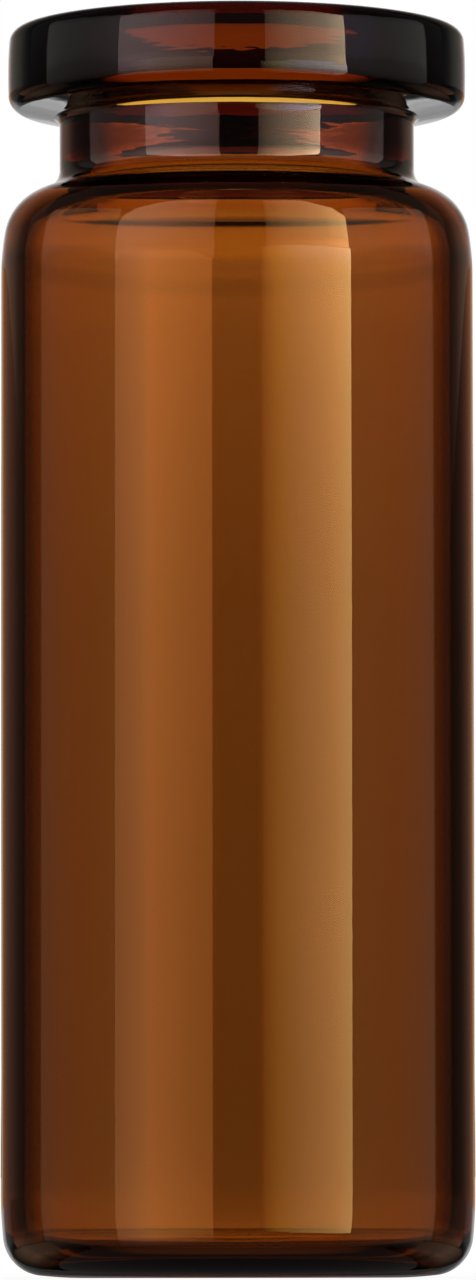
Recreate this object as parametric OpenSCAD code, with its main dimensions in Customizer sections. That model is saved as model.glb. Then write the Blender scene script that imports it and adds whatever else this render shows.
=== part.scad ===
// Amber glass sample vial with a crimp finish, open at the top.
// One tube of glass, worked in the flame: a flat-footed body, a shoulder drawn in to a short neck,
// and a rolled flange that a crimp cap grips. The origin is the middle of the base, on the surface
// that the vial stands on. All lengths are in millimetres, all angles in degrees.

/* [Body] */
// Height from the standing ring to the sealing face
total_height = 54.5; // [40:0.5:80]
// Outside diameter of the body
body_diameter = 20.6; // [20:0.1:25]
// Thickness of the body wall
wall = 1.0; // [0.8:0.1:1.3]

/* [Base] */
// Thickness of the floor
base_thickness = 1.0; // [0.7:0.1:2]
// Height of the hollow under the middle of the base
push_up = 0.4; // [0.1:0.1:0.8]
// Width of the flat ring that the vial stands on
ring_width = 1.0; // [0.6:0.1:2]
// Radius that eases the flat ring into the hollow
ring_round = 8; // [2:1:12]
// Radius of the heel, outside
heel_round = 1.8; // [1.2:0.1:2.5]
// Radius of the gentle curves that lead into the heel from the base and the body
heel_ease = 17; // [8:1:22]
// Angle that each of those gentle curves turns through
heel_lean = 6.5; // [2:0.5:10]
// Radius of the heel, inside
inner_heel_round = 1.2; // [0.8:0.1:1.9]

/* [Shoulder] */
// Fall of the shoulder from the neck outwards
shoulder_pitch = 15.5; // [8:0.5:35]
// Radius of the shoulder's edge, outside
shoulder_round = 2.3; // [1.8:0.05:3]
// Radius of the gentle curve from the body into that edge
shoulder_ease = 11; // [9.5:0.5:16]
// Angle that the gentle curve turns through
shoulder_lean = 10; // [8:1:14]
// How much higher the shoulder starts inside than outside
inner_rise = 0.45; // [0:0.05:0.6]
// Fall of the shoulder inside, from the throat outwards
inner_pitch = 22; // [15:1:30]
// Radius of the shoulder's edge, inside
inner_round = 1.6; // [1.2:0.05:2.2]
// Radius of the gentle curve from the cavity's wall into that edge
inner_ease = 6; // [4:0.2:7]
// Angle that this gentle curve turns through
inner_lean = 12; // [4:1:14]

/* [Neck] */
// Outside diameter of the neck
neck_diameter = 15.5; // [14.8:0.1:15.8]
// Diameter of the bore, which a stopper plugs
bore_diameter = 13; // [12.9:0.1:13.2]
// Length of the neck's straight outside, between its two fillets
neck_length = 1.95; // [0.5:0.05:5]
// Fillet from the shoulder up into the neck, outside
neck_fillet = 0.9; // [0.4:0.1:1.2]
// Diameter of the waist below the bore, where the glass drew in as the neck was rolled
waist_diameter = 12.8; // [12.2:0.1:12.8]
// Length over which the waist widens into the bore
flare_length = 1.8; // [1:0.1:2.5]
// Rounding inside, where the waist opens into the body
throat_round = 2.3; // [1:0.1:2.4]

/* [Flange] */
// Diameter of the flange
flange_diameter = 20; // [19.5:0.1:20.2]
// Height of the flange at its rim, from the sealing face to the end of its lower rounding
flange_height = 3.6; // [3.35:0.05:4.5]
// Slope of the flange's underside, down towards the neck
flange_pitch = 11; // [5:1:20]
// Fillet from the neck out into the flange's underside
root_fillet = 0.4; // [0.2:0.1:0.8]
// Radius of the flange's upper edge
flange_top_round = 0.6; // [0.4:0.1:0.9]
// Radius of the flange's lower edge
flange_low_round = 0.7; // [0.3:0.05:0.8]
// Radius to which the flange's side bulges above and below its straight land
flange_bulge = 17; // [8:0.5:19]
// Angle that the side leans in by at the upper edge
top_lean = 4.5; // [2:0.5:5]
// Angle that the side leans in by at the lower edge
low_lean = 2.5; // [1:0.5:3]
// Rounding of the mouth, from the sealing face into the bore
mouth_round = 0.9; // [0.3:0.1:1.2]

/* [Hidden] */

// Largest angle and fewest parts that an arc is drawn with
arc_angle = 5;
arc_parts = 6;
// Sides of the revolved form
turned_sides = 144;

body_r = body_diameter / 2;
cavity_r = body_r - wall;
neck_r = neck_diameter / 2;
bore_r = bore_diameter / 2;
waist_r = waist_diameter / 2;
flange_r = flange_diameter / 2;

function last(list) = list[len(list) - 1];

// A wall is drawn as a run of strokes, each starting where the one before it ends, in the
// direction in which that one ended. [length] is a straight, and [radius, turn] an arc that
// turns left, or right where its turn is negative.
function stroke_turn(stroke) = len(stroke) > 1 ? stroke[1] : 0;
function stroke_points(at, heading, stroke) =
    len(stroke) == 1
    ? [at + stroke[0] * [cos(heading), sin(heading)]]
    : let (
        side = sign(stroke[1]) * stroke[0],
        centre = at + side * [-sin(heading), cos(heading)],
        parts = max(arc_parts, ceil(abs(stroke[1]) / arc_angle))
      )
      [for (i = [1 : parts])
          let (h = heading + stroke[1] * i / parts) centre + side * [sin(h), -cos(h)]];
function run(at, heading, strokes, i = 0) =
    i == len(strokes)
    ? []
    : let (points = stroke_points(at, heading, strokes[i]))
      concat(points, run(last(points), heading + stroke_turn(strokes[i]), strokes, i + 1));

// How far a run of strokes goes, across and up
function reach(heading, strokes) = last(run([0, 0], heading, strokes));

// The hollow under the base and the floor's dome: a wide arc that a small one eases to the flat
function dome(radius) =
    let (turn = 2 * atan(push_up / radius))
    [[radius / sin(turn) - ring_round, -turn], [ring_round, turn]];

// The heel, from the base up to the wall
function heel(round_r, ease_r) = [[ease_r, heel_lean], [round_r, 90 - 2 * heel_lean], [ease_r, heel_lean]];

// The shoulder, from a wall of radius wide in to a neck of radius narrow, as its rounded edge,
// its slope and the fillet up into the neck
function shoulder(wide, narrow, round_r, ease_r, fillet_r, pitch, lean) =
    let (
        steep = 90 - pitch,
        ease_in = ease_r * (1 - cos(lean)),
        fillet_in = fillet_r * (1 - cos(steep)),
        room = wide - narrow - ease_in - fillet_in,
        per_radius = cos(lean) - cos(steep),
        round_fit = min(round_r, room / per_radius),
        slope = (room - round_fit * per_radius) / sin(steep)
    )
    [[ease_r, lean], [round_fit, steep - lean], [slope], [fillet_r, -steep]];

// A wall that goes straight up and swings outwards by widening over that length
function flare(widening, length) =
    let (turn = 2 * atan(widening / length), radius = length / 2 / sin(turn))
    [[radius, -turn], [radius, turn]];

// Outside, from the middle of the base up to the sealing face
outer_heel = heel(heel_round, heel_ease);
ring_r = body_r - reach(0, outer_heel)[0] - ring_width;
outer_shoulder = shoulder(
    body_r, neck_r, shoulder_round, shoulder_ease, neck_fillet, shoulder_pitch, shoulder_lean
);
flange_edge = 90 - flange_pitch;
low_edge = [[flange_low_round, flange_edge - low_lean], [flange_bulge, low_lean]];
top_edge = [[flange_bulge, top_lean], [flange_top_round, 90 - top_lean]];
root = [root_fillet, -flange_edge];
underside = (flange_r - neck_r - reach(90, [root])[0] - reach(flange_pitch, low_edge)[0])
    / cos(flange_pitch);
flange_land = flange_height - reach(flange_pitch, low_edge)[1] - reach(90, top_edge)[1];
neck_height = neck_length + reach(90, [root, [underside]])[1];
body_straight = total_height - reach(0, outer_heel)[1] - reach(90, outer_shoulder)[1]
    - neck_height - flange_height;
outside = run([0, push_up], 0, concat(
    dome(ring_r), [[ring_width]], outer_heel,
    [[body_straight]], outer_shoulder,
    [[neck_length], root, [underside]], low_edge, [[flange_land]], top_edge
));

// Inside, from the middle of the floor up to the sealing face
inner_heel = heel(inner_heel_round, heel_ease - wall);
inner_shoulder = shoulder(
    cavity_r, waist_r, inner_round, inner_ease, throat_round, inner_pitch, inner_lean
);
throat = concat(inner_shoulder, flare(bore_r - waist_r, flare_length));
shoulder_z = reach(0, outer_heel)[1] + body_straight + inner_rise;
floor_ring = cavity_r - reach(0, inner_heel)[0] - ring_r;
cavity_straight = shoulder_z - base_thickness - reach(0, inner_heel)[1];
bore_length = total_height - mouth_round - shoulder_z - reach(90, throat)[1];
inside = run([0, base_thickness + push_up], 0, concat(
    dome(ring_r), [[floor_ring]], inner_heel,
    [[cavity_straight]], throat,
    [[bore_length], [mouth_round, -90]]
));

module vial() {
    color("#84461c")
        rotate_extrude($fn = turned_sides)
            polygon(concat(
                [[0, push_up]], outside,
                [for (i = [len(inside) - 1 : -1 : 0]) inside[i]], [[0, base_thickness + push_up]]
            ));
}

vial();
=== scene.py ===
import math

import bmesh
import bpy
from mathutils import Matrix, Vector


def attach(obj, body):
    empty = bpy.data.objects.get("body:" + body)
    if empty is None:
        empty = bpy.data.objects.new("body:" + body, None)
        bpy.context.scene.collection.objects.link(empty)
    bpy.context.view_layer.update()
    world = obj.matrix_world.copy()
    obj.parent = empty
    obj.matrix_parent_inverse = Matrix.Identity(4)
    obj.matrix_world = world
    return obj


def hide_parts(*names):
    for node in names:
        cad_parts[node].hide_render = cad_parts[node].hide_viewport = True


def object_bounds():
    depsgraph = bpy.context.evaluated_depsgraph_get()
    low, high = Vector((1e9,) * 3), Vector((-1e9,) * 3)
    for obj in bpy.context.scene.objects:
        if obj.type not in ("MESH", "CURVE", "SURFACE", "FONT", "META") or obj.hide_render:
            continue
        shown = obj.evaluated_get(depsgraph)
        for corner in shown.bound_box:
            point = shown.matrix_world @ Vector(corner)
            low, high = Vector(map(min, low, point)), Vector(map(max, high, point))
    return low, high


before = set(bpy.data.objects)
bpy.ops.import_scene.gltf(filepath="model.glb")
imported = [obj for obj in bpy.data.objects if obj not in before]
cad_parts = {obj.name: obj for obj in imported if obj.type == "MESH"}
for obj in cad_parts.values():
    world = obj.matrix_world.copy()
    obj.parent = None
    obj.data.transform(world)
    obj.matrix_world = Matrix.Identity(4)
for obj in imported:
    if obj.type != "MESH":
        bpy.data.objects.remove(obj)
cad_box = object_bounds()

# ---------------------------------------------------------------------------------------------
# Vial: a sample vial of amber borosilicate glass, made from one length of drawn tube. In the
# flame its base is closed and pushed up, its shoulder is drawn in, and its neck and flange are
# rolled while the glass is soft, so it is one piece with no seam. Lengths are in millimetres.
MM = 0.001

# Body and base. The height and the body's radius are those of the frame's box. An ease is the
# radius of a gentle curve that leads into a rounding, and a lean the angle that it turns through.
HEIGHT = cad_box[1].z / MM
BODY_R = cad_box[1].x / MM
WALL = 1.0
CAVITY_R = BODY_R - WALL
BASE_THICKNESS = 1.0
PUSH_UP = 0.4
RING_WIDTH = 1.0
RING_ROUND = 8.0
HEEL_ROUND = 1.8
HEEL_EASE = 17.0
HEEL_LEAN = 6.5
INNER_HEEL_ROUND = 1.2

# Shoulder, outside and inside. A pitch is the fall of a slope, outwards from the neck.
SHOULDER_PITCH = 15.5
SHOULDER_ROUND = 2.3
SHOULDER_EASE = 11.0
SHOULDER_LEAN = 10.0
INNER_RISE = 0.45
INNER_PITCH = 22.0
INNER_ROUND = 1.6
INNER_EASE = 6.0
INNER_LEAN = 12.0

# Neck, and the bore with the waist below it
NECK_R = 7.75
NECK_LENGTH = 1.95
NECK_FILLET = 0.9
BORE_R = 6.5
WAIST_R = 6.4
FLARE_LENGTH = 1.8
THROAT_ROUND = 2.3

# Flange and mouth. The flange's side bulges to a wide radius above and below its straight land.
FLANGE_R = 10.0
FLANGE_HEIGHT = 3.6
FLANGE_PITCH = 11.0
ROOT_FILLET = 0.4
FLANGE_TOP_ROUND = 0.6
FLANGE_LOW_ROUND = 0.7
FLANGE_BULGE = 17.0
TOP_LEAN = 4.5
LOW_LEAN = 2.5
MOUTH_ROUND = 0.9

# How finely the glass is drawn: degrees in a part of an arc, the fewest parts of an arc, length
# of a part of a straight, and sectors round the axis
ARC_STEP = 5.0
ARC_PARTS = 6
STRAIGHT_STEP = 0.9
SECTORS = 256


def stroke(at, heading, length, turn=0.0):
    """Points of a straight, or of an arc of radius length that turns left, or right if turn < 0."""
    a = math.radians(heading)
    if turn == 0.0:
        steps = max(1, math.ceil(length / STRAIGHT_STEP))
        parts = [length * i / steps for i in range(1, steps + 1)]
        return [(at[0] + part * math.cos(a), at[1] + part * math.sin(a)) for part in parts]
    side = math.copysign(length, turn)
    centre = (at[0] - side * math.sin(a), at[1] + side * math.cos(a))
    steps = max(ARC_PARTS, math.ceil(abs(turn) / ARC_STEP))
    angles = [math.radians(heading + turn * i / steps) for i in range(1, steps + 1)]
    return [(centre[0] + side * math.sin(b), centre[1] - side * math.cos(b)) for b in angles]


def run(at, heading, strokes):
    """Points of a run of strokes, each starting where the one before it ends."""
    points = []
    for s in strokes:
        points += stroke(at, heading, *s)
        at = points[-1]
        heading += s[1] if len(s) > 1 else 0.0
    return points


def reach(heading, strokes):
    """How far a run of strokes goes, across and up."""
    return run((0.0, 0.0), heading, strokes)[-1]


def dome(radius):
    """The hollow under the base: a wide arc that a small one eases to the flat standing ring."""
    turn = 2 * math.degrees(math.atan(PUSH_UP / radius))
    return [(radius / math.sin(math.radians(turn)) - RING_ROUND, -turn), (RING_ROUND, turn)]


def heel(round_r, ease_r):
    """The heel, from the base up to the wall, with a gentle curve before and after its rounding."""
    return [(ease_r, HEEL_LEAN), (round_r, 90 - 2 * HEEL_LEAN), (ease_r, HEEL_LEAN)]


def shoulder(wide, narrow, round_r, ease_r, fillet_r, pitch, lean):
    """The shoulder: gentle curve, rounded edge, slope, and fillet up into the neck."""
    steep = 90 - pitch
    turn_in = math.cos(math.radians(lean))
    turn_out = math.cos(math.radians(steep))
    room = wide - narrow - ease_r * (1 - turn_in) - fillet_r * (1 - turn_out)
    slope = (room - round_r * (turn_in - turn_out)) / math.sin(math.radians(steep))
    return [(ease_r, lean), (round_r, steep - lean), (slope,), (fillet_r, -steep)]


def ring_r():
    """Radius at which the flat standing ring starts."""
    return BODY_R - reach(0, heel(HEEL_ROUND, HEEL_EASE))[0] - RING_WIDTH


def outside():
    """The outside, from the middle of the base to the sealing face, and the height of its shoulder."""
    outer_heel = heel(HEEL_ROUND, HEEL_EASE)
    outer_shoulder = shoulder(BODY_R, NECK_R, SHOULDER_ROUND, SHOULDER_EASE, NECK_FILLET,
                              SHOULDER_PITCH, SHOULDER_LEAN)
    root = [(ROOT_FILLET, FLANGE_PITCH - 90)]
    low_edge = [(FLANGE_LOW_ROUND, 90 - FLANGE_PITCH - LOW_LEAN), (FLANGE_BULGE, LOW_LEAN)]
    top_edge = [(FLANGE_BULGE, TOP_LEAN), (FLANGE_TOP_ROUND, 90 - TOP_LEAN)]
    underside = (FLANGE_R - NECK_R - reach(90, root)[0] - reach(FLANGE_PITCH, low_edge)[0]) \
        / math.cos(math.radians(FLANGE_PITCH))
    land = FLANGE_HEIGHT - reach(FLANGE_PITCH, low_edge)[1] - reach(90, top_edge)[1]
    neck_height = NECK_LENGTH + reach(90, root + [(underside,)])[1]
    shoulder_z = HEIGHT - FLANGE_HEIGHT - neck_height - reach(90, outer_shoulder)[1]
    straight = shoulder_z - reach(0, outer_heel)[1]
    start = (0.0, PUSH_UP)
    points = run(start, 0, [
        *dome(ring_r()), (RING_WIDTH,), *outer_heel, (straight,), *outer_shoulder,
        (NECK_LENGTH,), *root, (underside,), *low_edge, (land,), *top_edge])
    return [start] + points, shoulder_z


def inside(shoulder_z):
    """The inside, from the middle of the floor to the sealing face."""
    inner_heel = heel(INNER_HEEL_ROUND, HEEL_EASE - WALL)
    inner_shoulder = shoulder(CAVITY_R, WAIST_R, INNER_ROUND, INNER_EASE, THROAT_ROUND,
                              INNER_PITCH, INNER_LEAN)
    swing = 2 * math.degrees(math.atan((BORE_R - WAIST_R) / FLARE_LENGTH))
    swing_r = FLARE_LENGTH / 2 / math.sin(math.radians(swing))
    throat = [*inner_shoulder, (swing_r, -swing), (swing_r, swing)]
    inner_z = shoulder_z + INNER_RISE
    floor_ring = CAVITY_R - reach(0, inner_heel)[0] - ring_r()
    straight = inner_z - BASE_THICKNESS - reach(0, inner_heel)[1]
    bore = HEIGHT - MOUTH_ROUND - inner_z - reach(90, throat)[1]
    start = (0.0, BASE_THICKNESS + PUSH_UP)
    points = run(start, 0, [
        *dome(ring_r()), (floor_ring,), *inner_heel, (straight,), *throat,
        (bore,), (MOUTH_ROUND, -90.0)])
    return [start] + points


def lathe(name, section):
    """A piece made by turning the section round +Z. The section starts and ends on the axis."""
    mesh = bpy.data.meshes.new(name)
    bm = bmesh.new()
    turns = [2 * math.pi * k / SECTORS for k in range(SECTORS)]
    rings = [[bm.verts.new((r * MM * math.cos(a), r * MM * math.sin(a), z * MM)) for a in turns]
             for r, z in section[1:-1]]
    for low, high in zip(rings, rings[1:]):
        for k in range(SECTORS):
            n = (k + 1) % SECTORS
            bm.faces.new((low[k], low[n], high[n], high[k]))
    for (_, z), ring in ((section[0], rings[0]), (section[-1], rings[-1])):
        middle = bm.verts.new((0, 0, z * MM))
        for k in range(SECTORS):
            bm.faces.new((middle, ring[k], ring[(k + 1) % SECTORS]))
    bmesh.ops.recalc_face_normals(bm, faces=bm.faces)
    for face in bm.faces:
        face.smooth = True
    bm.to_mesh(mesh)
    bm.free()
    piece = bpy.data.objects.new(name, mesh)
    bpy.context.scene.collection.objects.link(piece)
    return piece


def linear(code, level=1.0):
    """An sRGB hex colour as linear light, with alpha. A level over 1 makes it stronger than white."""
    parts = [int(code[i:i + 2], 16) / 255 for i in (1, 3, 5)]
    lights = [p / 12.92 if p <= 0.04045 else ((p + 0.055) / 1.055) ** 2.4 for p in parts]
    return (*[light * level for light in lights], 1.0)


def along(stops, start, end, measure=float):
    """Stops at real measures, as the stops of a colour ramp that runs from start to end."""
    first = measure(start)
    length = measure(end) - first
    return [((measure(at) - first) / length, level) for at, level in stops]


def add(tree, kind, settings=None, links=None):
    """Add a node with its settings and links. Settings are attributes, inputs, or a ramp's stops, whose
    levels are greys or colours. A link comes from an output, or from a node's first one. Inputs go by
    name or number."""
    node = tree.nodes.new(kind)
    for key, value in (settings or {}).items():
        if key == "stops":
            for _ in value[2:]:
                node.color_ramp.elements.new(0.5)
            for element, (place, level) in zip(node.color_ramp.elements, value):
                element.position = place
                element.color = level if isinstance(level, tuple) else (level, level, level, 1.0)
        elif isinstance(key, str) and hasattr(node, key):
            setattr(node, key, value)
        else:
            node.inputs[key].default_value = value
    for key, source in (links or {}).items():
        if isinstance(source, bpy.types.Node):
            source = source.outputs[0]
        tree.links.new(source, node.inputs[key])
    return node


# The glass is amber borosilicate, worked in the flame and fire-polished by it, so its skin is
# as smooth as a mirror. Its colour comes mostly from its depth: orange brown through a thin
# wall, and nearly black where the glass is thick or is looked along.
GLASS_IOR = 1.5
AMBER = linear("#deba63")
AMBER_DEPTH_PER_MM = 2.97
WHITE = linear("#ffffff")

# Painted reflection colour by height, set as the gloss's tint. It stands in for the room that the
# inside of a wall mirrors through amber: a warm, strong painted gloss on a thin wall, a stronger
# painted highlight on the worked fillet, and a pale one on thick glass. The dark lines near the top
# are painted shade in the gloss, where the creases that a roller leaves round the flange are.
HEEL_PAINTED_GLOSS = linear("#fff9f3")
BODY_PAINTED_GLOSS = linear("#ffc16e", 1.6)
SHOULDER_PAINTED_GLOSS = linear("#ffd4a5", 1.6)
FILLET_PAINTED_HIGHLIGHT = linear("#ffd5c0", 3.6)
RIM_PAINTED_GLOSS = linear("#ffedea")
UNDER_EDGE_PAINTED_GLOSS = linear("#50453f")
LOW_SIDE_PAINTED_GLOSS = linear("#ceb5a2")
SIDE_PAINTED_GLOSS = linear("#f3dfd7")
# Painted shade in the gloss: thin dark lines at the flange's creases
CREASE_PAINTED_SHADE = linear("#bcb3b3")
TOP_CREASE_PAINTED_SHADE = linear("#a09595")
PAINTED_GLOSS = (
    (0.0, HEEL_PAINTED_GLOSS), (1.2, HEEL_PAINTED_GLOSS), (1.75, BODY_PAINTED_GLOSS), (43.0, BODY_PAINTED_GLOSS),
    (44.6, SHOULDER_PAINTED_GLOSS), (47.0, SHOULDER_PAINTED_GLOSS), (47.9, FILLET_PAINTED_HIGHLIGHT), (48.3, FILLET_PAINTED_HIGHLIGHT),
    (48.38, RIM_PAINTED_GLOSS), (50.9, RIM_PAINTED_GLOSS), (50.98, UNDER_EDGE_PAINTED_GLOSS), (51.3, UNDER_EDGE_PAINTED_GLOSS),
    (51.4, LOW_SIDE_PAINTED_GLOSS), (51.5, LOW_SIDE_PAINTED_GLOSS), (51.8, SIDE_PAINTED_GLOSS), (53.2, RIM_PAINTED_GLOSS),
    (53.56, RIM_PAINTED_GLOSS), (53.58, CREASE_PAINTED_SHADE), (53.62, CREASE_PAINTED_SHADE), (53.64, RIM_PAINTED_GLOSS),
    (53.88, RIM_PAINTED_GLOSS), (53.94, TOP_CREASE_PAINTED_SHADE), (54.1, TOP_CREASE_PAINTED_SHADE), (54.18, RIM_PAINTED_GLOSS))

# Tint of the glass's skin, by height: the drawn body's skin is a little deeper in colour than
# the glass under it, the worked neck's is less so, and the flange's is clear.
BODY_SKIN = linear("#f4ddd4")
NECK_SKIN = linear("#f9e7e1")
SKIN = ((0.0, BODY_SKIN), (46.9, BODY_SKIN), (47.4, NECK_SKIN), (50.2, NECK_SKIN), (50.6, WHITE))

# Painted shade on the heel, by height: the light that the heel lets through darkens in steps,
# with a dark line, down to the standing ring. This takes over between the two radii, so
# that it leaves out the middle of the base and the cavity's floor.
HEEL_PAINTED_SHADE = ((0.0, 0.02), (0.9, 0.02), (1.0, 0.3), (1.16, 0.3), (1.33, 0.12), (1.5, 0.3),
              (1.66, 0.8), (1.8, 1.0))
HEEL_INNER_R = 9.1
HEEL_OUTER_R = 9.2

# Draw lines run the length of the tube. Real ones are some tenths of a millimetre wide, and
# these are drawn coarser so that they show. Each pattern is a width and a height of its cells,
# and all its lengths are in millimetres.
DRAW_LINE = (1.3, 70.0)
DRAW_LINE_DEPTH = 0.004

# Tool marks are long flat ripples that rollers leave round the neck: deep in the bore, faint on
# the flange's side, and plain under the flange. Each has its depth and the limits of radius and
# height that it fades in between.
TOOL_MARK = (2.6, 0.55)
TOOL_MARKS = (
    (0.014, (("radius", 7.5, 7.2), ("height", 47.6, 48.2))),
    (0.003, (("radius", 9.3, 9.8), ("height", 50.6, 51.0))),
    (0.012, (("radius", 8.0, 8.3), ("radius", 9.9, 9.5), ("height", 50.3, 50.5), ("height", 51.4, 51.1))))


def cells(width, height):
    """Scale that turns metres into cells of that width and height, in millimetres."""
    return (1 / (width * MM), 1 / (width * MM), 1 / (height * MM))


def amber_glass():
    """Amber borosilicate glass: tinted through its depth, glossy, with draw lines and tool marks, a
    painted reflection colour by height and painted shade on the heel.
    """
    material = bpy.data.materials.new("flame_worked_amber_borosilicate_glass")
    material.use_nodes = True
    tree = material.node_tree
    tree.nodes.clear()
    place = add(tree, "ShaderNodeTexCoord").outputs["Object"]
    height = add(tree, "ShaderNodeSeparateXYZ", links={0: place}).outputs["Z"]
    flat = add(tree, "ShaderNodeVectorMath", {"operation": "MULTIPLY", 1: (1, 1, 0)}, {0: place})
    radius = add(tree, "ShaderNodeVectorMath", {"operation": "LENGTH"}, {0: flat}).outputs["Value"]
    share = add(tree, "ShaderNodeMath", {"operation": "DIVIDE", 1: HEIGHT * MM}, {0: height})

    # Painted reflection colour by height, used as the gloss's tint
    painted_gloss = add(tree, "ShaderNodeValToRGB", {"stops": along(PAINTED_GLOSS, 0, HEIGHT)}, {0: share})
    skin = add(tree, "ShaderNodeValToRGB", {"stops": along(SKIN, 0, HEIGHT)}, {0: share})
    # Painted shade on the heel's outside, by height, kept off the middle of the base by the radius mask
    painted_heel_shade = add(tree, "ShaderNodeValToRGB", {"stops": along(HEEL_PAINTED_SHADE, 0, HEIGHT)}, {0: share})
    painted_shade_mask = add(tree, "ShaderNodeMapRange",
                {"From Min": HEEL_INNER_R * MM, "From Max": HEEL_OUTER_R * MM}, {0: radius})
    heel_with_painted_shade = add(tree, "ShaderNodeMix", {"data_type": "RGBA", 6: WHITE}, {0: painted_shade_mask, 7: painted_heel_shade})
    tone = add(tree, "ShaderNodeMix", {"data_type": "RGBA", "blend_type": "MULTIPLY", 0: 1.0},
               {6: skin, 7: heel_with_painted_shade.outputs[2]})

    lines_at = add(tree, "ShaderNodeVectorMath",
                   {"operation": "MULTIPLY", 1: cells(*DRAW_LINE)}, {0: place})
    lines = add(tree, "ShaderNodeTexNoise", {"Scale": 1.0, "Detail": 1.0, "Roughness": 0.5},
                {"Vector": lines_at})
    marks_at = add(tree, "ShaderNodeVectorMath",
                   {"operation": "MULTIPLY", 1: cells(*TOOL_MARK)}, {0: place})
    marks = add(tree, "ShaderNodeTexNoise", {"Scale": 1.0, "Detail": 2.0, "Roughness": 0.6},
                {"Vector": marks_at})
    relief = add(tree, "ShaderNodeMath",
                 {"operation": "MULTIPLY", 1: DRAW_LINE_DEPTH * MM}, {0: lines})
    for depth, limits in TOOL_MARKS:
        fade = None
        for measure, start, end in limits:
            settings = {"From Min": start * MM, "From Max": end * MM}
            links = {"Value": radius if measure == "radius" else height}
            if fade is None:
                settings["To Max"] = depth * MM
            else:
                links["To Max"] = fade
            fade = add(tree, "ShaderNodeMapRange", settings, links)
        relief = add(tree, "ShaderNodeMath", {"operation": "MULTIPLY_ADD"},
                     {0: marks, 1: fade, 2: relief})
    bump = add(tree, "ShaderNodeBump", {"Strength": 1.0, "Distance": 1.0}, {"Height": relief})

    # The Specular Tint carries the painted reflection colour by height
    shader = add(tree, "ShaderNodeBsdfPrincipled",
                 {"Roughness": 0.0, "IOR": GLASS_IOR, "Transmission Weight": 1.0},
                 {"Base Color": tone.outputs[2], "Specular Tint": painted_gloss, "Normal": bump})
    tint = add(tree, "ShaderNodeVolumeAbsorption",
               {"Color": AMBER, "Density": AMBER_DEPTH_PER_MM / MM})
    add(tree, "ShaderNodeOutputMaterial", links={"Surface": shader, "Volume": tint})
    return material


outer_section, outer_shoulder_z = outside()
vial = lathe("vial_glass", outer_section + inside(outer_shoulder_z)[::-1])
vial.data.materials.append(amber_glass())
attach(vial, "root")
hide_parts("vial")

# ---------------------------------------------------------------------------------------------
# Front panels: two tall softboxes of white cloth lit from behind, which the vial mirrors as two
# bright bands. Each is a lower sheet and an upper one with a cut top. The left panel stands
# farther off and is warm, and the right one is close and fades inwards. Places are in metres.

# Height near the vial's middle, which all the sheets' elevations start from
MIDDLE_UP = 0.025
LEFT_AWAY = 0.4
RIGHT_AWAY = 0.12


def card(name, away, across, up, strength, tint=WHITE, crown=(), glossy=True, transmission=True):
    """A sheet that faces the vial from that far away, with stops of light at azimuths across it and at
    elevations up it, in degrees. Azimuths run from the camera's side towards +X. The crown is the
    sheet's cut top, as azimuths and elevations, and a sheet without one has a straight top."""
    left, right = across[0][0], across[-1][0]
    low, high = up[0][0], up[-1][0]
    middle = (left + right) / 2

    def sideways(azimuth):
        return math.tan(math.radians(azimuth - middle))

    def upwards(elevation):
        return math.tan(math.radians(elevation))

    corners = [(away * sideways(left), 0, away * upwards(low)),
               (away * sideways(right), 0, away * upwards(low))]
    for azimuth, elevation in crown[::-1]:
        lift = upwards(elevation) / math.cos(math.radians(azimuth - middle))
        corners.append((away * sideways(azimuth), 0, away * min(lift, upwards(high))))
    if not crown:
        corners += [(away * sideways(azimuth), 0, away * upwards(high)) for azimuth in (right, left)]
    mesh = bpy.data.meshes.new(name)
    mesh.from_pydata(corners, [], [tuple(range(len(corners)))])
    sheet = bpy.data.objects.new(name, mesh)
    turn = math.radians(middle)
    sheet.location = (away * math.sin(turn), -away * math.cos(turn), MIDDLE_UP)
    sheet.rotation_euler = (0, 0, turn)
    bpy.context.scene.collection.objects.link(sheet)

    # Woven cloth, lit from behind: a soft glow with no weave to see, which fades along the sheet
    cloth = bpy.data.materials.new("backlit_woven_cloth_" + name)
    cloth.use_nodes = True
    tree = cloth.node_tree
    tree.nodes.clear()
    place = add(tree, "ShaderNodeTexCoord").outputs["Generated"]
    parts = add(tree, "ShaderNodeSeparateXYZ", links={0: place})
    wide = add(tree, "ShaderNodeValToRGB", {"stops": along(across, left, right, sideways)},
               {0: parts.outputs["X"]})
    tall = add(tree, "ShaderNodeValToRGB", {"stops": along(up, low, high, upwards)},
               {0: parts.outputs["Z"]})
    both = add(tree, "ShaderNodeVectorMath", {"operation": "MULTIPLY"}, {0: wide, 1: tall})
    hue = add(tree, "ShaderNodeVectorMath", {"operation": "MULTIPLY", 1: tint[:3]}, {0: both})
    light = add(tree, "ShaderNodeEmission", {"Strength": strength}, {"Color": hue})
    add(tree, "ShaderNodeOutputMaterial", links={0: light})
    mesh.materials.append(cloth)

    sheet.visible_camera = False
    sheet.visible_diffuse = False
    sheet.visible_glossy = glossy
    sheet.visible_transmission = transmission
    sheet.visible_shadow = False


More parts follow.
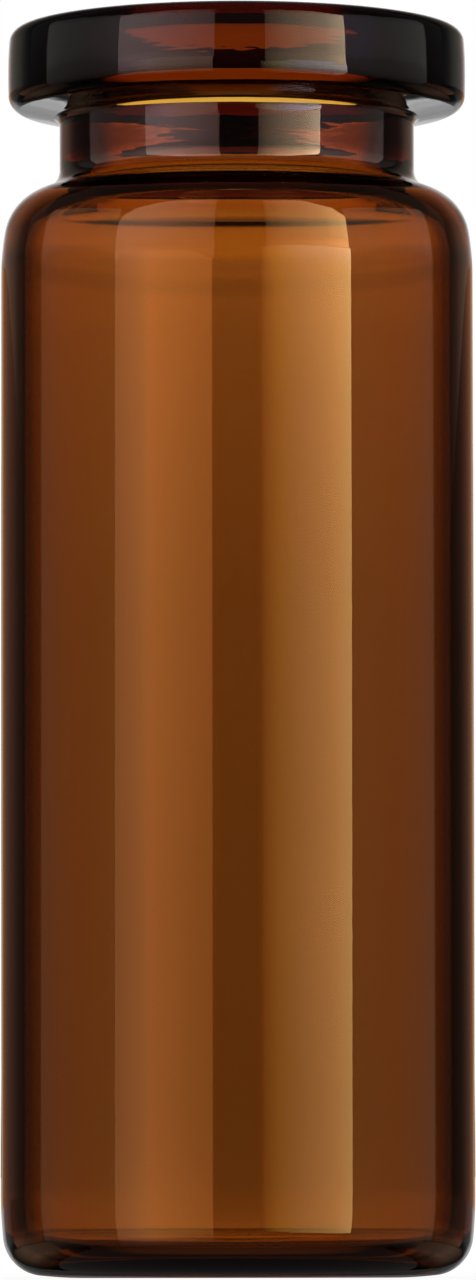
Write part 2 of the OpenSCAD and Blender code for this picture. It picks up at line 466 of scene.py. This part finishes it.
card("left_panel", LEFT_AWAY,
     ((-61.0, linear("#cdbdcd")), (-54.0, linear("#e5d2df")), (-45.0, linear("#ffebea")),
      (-36.0, linear("#f3ded0")), (-18.0, linear("#d3b9a8")), (-12.0, linear("#cbb29f"))),
     ((-34.0, 0.06), (-26.0, 0.15), (-18.0, 0.5), (-14.5, 1.0), (-2.9, 1.0), (-1.4, 0.9),
      (1.1, 0.9), (4.8, 1.03), (9.3, 1.2), (9.9, 1.2)),
     strength=2.3)
card("left_panel_top", LEFT_AWAY,
     ((-61.0, linear("#f9ecf0")), (-55.0, linear("#fff1f3")), (-42.0, linear("#f6e6e6")),
      (-30.0, linear("#ddcbc8")), (-11.0, linear("#ad9b97"))),
     ((9.9, 1.2), (10.9, 1.2), (11.4, 1.0), (45, 1.0)), strength=1.9,
     crown=((-61.0, 21.0), (-58.5, 23.5), (-56.0, 26.0), (-52.0, 29.7), (-45.0, 34.7), (-39.0, 39.0),
            (-18.0, 42.0), (-11.0, 42.5)))
card("right_panel", RIGHT_AWAY,
     ((10.8, 0.0), (12.5, linear("#55503f")), (19, linear("#898461")), (32.0, 0.42), (43.0, 0.6),
      (50, 0.8), (55.0, 1.0)),
     ((-20.8, 1.0), (-10.5, 0.94), (-7.2, 0.9), (-1.8, 1.0), (0.0, 0.96), (6.3, 1.06), (11.1, 1.25),
      (15.8, 1.8), (16.9, 1.8)), strength=5.0, tint=linear("#f0f8ff", 1.1))
card("right_panel_top", RIGHT_AWAY,
     ((13.5, 0.08), (20, 0.17), (32.0, 0.32), (43.0, 0.52), (50, 0.8), (54.0, 1.0)),
     ((16.9, 1.2), (18.6, 1.2), (19.2, 1.0), (45, 1.0)), strength=7.5, tint=linear("#fff1ce"),
     crown=((13.5, 42.5), (19.0, 42.3), (36.0, 42.0), (40.0, 38.5), (45.0, 34.6), (50.0, 30.5),
            (54.0, 27.0)),
     transmission=False)

# ---------------------------------------------------------------------------------------------
# Side sheets: the same cloth, one sheet on each side of the vial, dimly lit. The vial mirrors
# them as the dim outer parts of its body, outside the two bright bands.
SIDE_AWAY = 0.4
SIDE_UP = ((-30, 0.15), (-24, 0.3), (-18, 0.6), (-14, 1.0), (10.3, 1.0), (11.5, 1.4), (30, 1.4))

card("left_side", SIDE_AWAY,
     ((-110.8, 0.05), (-109.4, 1.1), (-100.0, 1.0), (-80.0, 1.0), (-67.0, 1.3), (-61.2, 1.6)),
     SIDE_UP, strength=0.26, transmission=False)
card("right_side", SIDE_AWAY,
     ((55.2, linear("#e9e9ff", 1.6)), (68.0, linear("#eaeeff", 1.4)), (80.0, 1.0), (109.4, 1.15),
      (110.8, 0.05)),
     SIDE_UP, strength=0.29, transmission=False)

# ---------------------------------------------------------------------------------------------
# Backdrop: a wide sheet of the same cloth behind the vial, lit from behind with cool light. Most
# of the light that comes through the glass is its own, and it is brightest on both sides of the
# vial's middle and above it.
BACKDROP_AWAY = 0.3
BACKLIGHT = linear("#cef3ff", 2.0)

card("backdrop", BACKDROP_AWAY,
     ((120.0, 0.02), (135.0, 0.04), (145.0, 0.1), (153.0, 0.2), (157.0, 0.28), (160.0, 0.46),
      (165.5, 0.95), (168.0, 1.0), (172.0, 0.93), (176.0, 0.8), (184.0, 0.8), (188.0, 0.93),
      (192.0, 1.0), (194.5, 0.95), (200.0, 0.5), (203.5, 0.34), (207.0, 0.26), (215.0, 0.1),
      (225.0, 0.04), (240.0, 0.02)),
     ((-25, 0.85), (-20, 0.8), (-15, 0.65), (-9.5, 0.57), (-5.7, 0.53), (-5, 0.44), (-4.3, 0.4),
      (-2.5, 0.35), (5, 0.42), (7.5, 0.52), (9.0, 0.6), (9.6, 0.74), (10.2, 0.67),
      (12.5, linear("#ffffcb")), (38, linear("#ffffbc"))),
     strength=2.2, tint=BACKLIGHT, glossy=False)

# ---------------------------------------------------------------------------------------------
# Rim lights: narrow sheets of the same cloth behind the vial, seen only in its glancing gloss.
# They draw the thin light edges of the heel, the body and the flange, and light the flange's
# underside.
RIM_AWAY = 1.0
UNDERSIDE_AWAY = 0.12
HEEL_AWAY = 0.4
BEHIND = 180.0


def pair(stops):
    """Stops on one side of the middle behind the vial, and the same on the other."""
    return stops + tuple((2 * BEHIND - azimuth, level) for azimuth, level in reversed(stops))


card("low_rim_light", RIM_AWAY,
     pair(((145.0, 0.08), (147.0, 0.13), (155.0, 0.18), (159.0, 0.22), (162.0, 0.6), (166.2, 0.95),
           (171.0, 0.85), (174.0, 0.6), (176.0, 0.3), (178.0, 0.18))),
     ((-25, 0.05), (-20, 0.08), (-16, 0.11), (-13, 0.13), (-11.8, 0.15), (-10.3, 0.22), (-9.3, 0.36),
      (-8, 0.55), (-1.4, 0.65)), strength=1.0, transmission=False)
card("underside_light", UNDERSIDE_AWAY, ((166.0, 0.9), (169.0, 1.0), (191.0, 1.0), (194.0, 0.9)),
     ((-9.2, 0.02), (-8.3, 0.1), (-7.2, 0.8), (-6.5, 1.3), (-5, 1.05), (-2, 0.95), (0, 0.7),
      (2, 0.62), (5, 0.5), (10, 0.5)), strength=1.0, transmission=False)

# One on each side, as mirror images. Stops go by rising azimuth, so the right one's are reversed.
for side, turn in (("left", 1), ("right", -1)):
    heel_across = tuple((BEHIND + turn * off, level) for off, level in (
        (17, 0.02), (24, 0.08), (33, 0.24), (44, 0.45), (52, 0.45), (71, 0.45), (83, 0.2), (95, 0.02)))
    card(side + "_heel_light", HEEL_AWAY, heel_across[::turn],
         ((-40, 0.05), (-34, 0.35), (-29, 1.0), (-21, 1.0), (-17, 0.95), (-15, 0.3)),
         strength=0.75, tint=linear("#ffcead"), transmission=False)

card("body_rim_light", RIM_AWAY,
     ((125.0, 0.02), (135.0, linear("#272c2c")), (141.0, linear("#303535")),
      (147.0, linear("#574842")), (151.0, linear("#5d5048")), (155.4, linear("#735d4d")),
      (161.0, linear("#956c57")), (164.4, linear("#cea87e")), (169.0, linear("#c4a07c")),
      (172.0, 0.7), (188.0, 0.7), (191.0, linear("#c4a07c")), (195.6, linear("#cea87e")),
      (199.0, linear("#956c57")), (204.6, linear("#735d4d")), (209.0, linear("#65554b")),
      (213.0, linear("#5d5048")), (219.0, linear("#554b45")), (226.0, linear("#423c3c")),
      (235.0, 0.03)),
     ((-1.4, 1.0), (8.1, 1.0)), strength=1.0, transmission=False)
card("flange_rim_light", RIM_AWAY,
     pair(((128.0, 0.035), (134.3, 0.06), (140.0, linear("#656159")), (147.0, linear("#6f6e65")),
           (155.0, linear("#817973")), (160.5, linear("#9e908b")), (164.1, linear("#baaca6")),
           (169.0, linear("#e7dad3")), (172.0, 0.78))),
     ((8.1, 1.0), (12, 1.0), (20, 0.8), (35, 0.5), (60, 0.3)), strength=1.0, transmission=False)

# ---------------------------------------------------------------------------------------------
# Room: a studio with white walls, half of it unlit. The camera sees the walls white, the glass
# mirrors the dark half, and through the glass comes light from the sides and off the table.

# Stops at parts of a direction: along Y from the camera's side to behind, and up Z
ROOM_DEPTH = ((-0.9, 0.04), (-0.5, 0.3), (-0.1, 0.7), (0.2, 0.6), (0.5, 0.03), (1, 0.03))
ROOM_LEVEL = ((-0.7, 0.0), (-0.5, 1.0))
TABLE_BOUNCE = (
    (-1.0, 0.4), (-0.86, 0.4), (-0.76, 0.06), (-0.65, 0.06), (-0.6, 0.15), (-0.57, 1.0), (-0.54, 1.0),
    (-0.515, 0.2), (-0.49, 0.2), (-0.46, 0.55), (-0.42, 0.5), (-0.38, 0.03), (0.5, 0.03), (1.0, 0.03))
MIRRORED = (
    (-0.9, linear("#524d4d")), (-0.35, linear("#4d4b48")), (-0.27, linear("#956955")),
    (-0.13, linear("#956955")), (-0.06, 0.04), (0.1, 0.035), (0.25, 0.07), (0.35, 0.08), (0.6, 0.07),
    (0.8, 0.06), (0.95, 0.06), (1, 0.06))

room = bpy.data.worlds.new("studio")
bpy.context.scene.world = room
room.use_nodes = True
tree = room.node_tree
tree.nodes.clear()
path = add(tree, "ShaderNodeLightPath")
direction = add(tree, "ShaderNodeTexCoord").outputs["Generated"]

# Each part of the direction runs from -1 to 1, and a ramp from 0 to 1
halved = add(tree, "ShaderNodeVectorMath",
             {"operation": "MULTIPLY_ADD", 1: (0.5, 0.5, 0.5), 2: (0.5, 0.5, 0.5)}, {0: direction})
parts = add(tree, "ShaderNodeSeparateXYZ", links={0: halved})
depth = add(tree, "ShaderNodeValToRGB", {"stops": along(ROOM_DEPTH, -1, 1)}, {0: parts.outputs["Y"]})
level = add(tree, "ShaderNodeValToRGB", {"stops": along(ROOM_LEVEL, -1, 1)}, {0: parts.outputs["Z"]})
bounce = add(tree, "ShaderNodeValToRGB", {"stops": along(TABLE_BOUNCE, -1, 1)}, {0: parts.outputs["Z"]})
gleam = add(tree, "ShaderNodeValToRGB", {"stops": along(MIRRORED, -1, 1)}, {0: parts.outputs["Z"]})
walls = add(tree, "ShaderNodeVectorMath", {"operation": "MULTIPLY"}, {0: depth, 1: level})
around = add(tree, "ShaderNodeVectorMath", {"operation": "MAXIMUM"}, {0: walls, 1: bounce})
through = add(tree, "ShaderNodeVectorMath", {"operation": "MULTIPLY", 1: BACKLIGHT[:3]}, {0: around})
seen = add(tree, "ShaderNodeMix", {"data_type": "RGBA"},
           {0: path.outputs["Is Reflection Ray"], 6: through, 7: gleam})
in_glass = add(tree, "ShaderNodeBackground", {"Strength": 1.0}, {"Color": seen.outputs[2]})
white = add(tree, "ShaderNodeBackground", {"Color": WHITE, "Strength": 1.0})
either = add(tree, "ShaderNodeMixShader", links={0: path.outputs["Is Glossy Ray"], 1: white, 2: in_glass})
add(tree, "ShaderNodeOutputWorld", links={0: either})

# ---------------------------------------------------------------------------------------------
# Table: a board with matt white paint, rolled on, so that it has no gloss. To the camera most of
# its white is a glow, which makes it as white as the walls and leaves the vial a faint shadow.
TABLE_HALF = 2.0
TABLE_GLOW = 0.8

floor = bpy.data.objects.new("floor", bpy.data.meshes.new("floor"))
floor.data.from_pydata(
    [(x * TABLE_HALF, y * TABLE_HALF, 0) for x, y in ((-1, -1), (1, -1), (1, 1), (-1, 1))], [],
    [(0, 1, 2, 3)])
bpy.context.scene.collection.objects.link(floor)
paint = bpy.data.materials.new("matt_white_paint")
paint.use_nodes = True
tree = paint.node_tree
tree.nodes.clear()
coat = add(tree, "ShaderNodeBsdfPrincipled", {"Base Color": linear("#fcfcfc"), "Roughness": 0.8})
glow = add(tree, "ShaderNodeEmission", {"Color": WHITE, "Strength": 1.0})
sight = add(tree, "ShaderNodeLightPath").outputs["Is Camera Ray"]
share = add(tree, "ShaderNodeMath", {"operation": "MULTIPLY", 1: TABLE_GLOW}, {0: sight})
surface = add(tree, "ShaderNodeMixShader", links={0: share, 1: coat, 2: glow})
add(tree, "ShaderNodeOutputMaterial", links={0: surface})
floor.data.materials.append(paint)
floor.visible_glossy = False
floor.visible_transmission = False

# ---------------------------------------------------------------------------------------------
# Camera: on a low stand in front of the vial, just above the table, and tipped slightly up. Its
# lens is a long one. The focal length is in pixels of a frame that is FRAME_PIXELS high.
CAMERA_PLACE = (-0.00001, -0.398, 0.00027)
CAMERA_TIP = 0.0689
CAMERA_ROLL = 0.00133
FOCAL_PIXELS = 9152.4
FRAME_PIXELS = 1280
SENSOR_MM = 36
NEAREST = 0.01
FARTHEST = 10

# Light that is caught in a wall of glass bounces many times before it leaves
MOST_BOUNCES = 32
MOST_MIRRORINGS = 16

camera = bpy.data.objects.new("camera", bpy.data.cameras.new("camera"))
bpy.context.scene.collection.objects.link(camera)
camera.location = CAMERA_PLACE
camera.rotation_euler = (math.pi / 2 + CAMERA_TIP, CAMERA_ROLL, 0)
camera.data.sensor_width = SENSOR_MM
camera.data.lens = FOCAL_PIXELS / FRAME_PIXELS * SENSOR_MM
camera.data.clip_start = NEAREST
camera.data.clip_end = FARTHEST
bpy.context.scene.camera = camera
bpy.context.scene.view_settings.view_transform = "Standard"
bpy.context.scene.cycles.max_bounces = MOST_BOUNCES
bpy.context.scene.cycles.transmission_bounces = MOST_BOUNCES
bpy.context.scene.cycles.glossy_bounces = MOST_MIRRORINGS
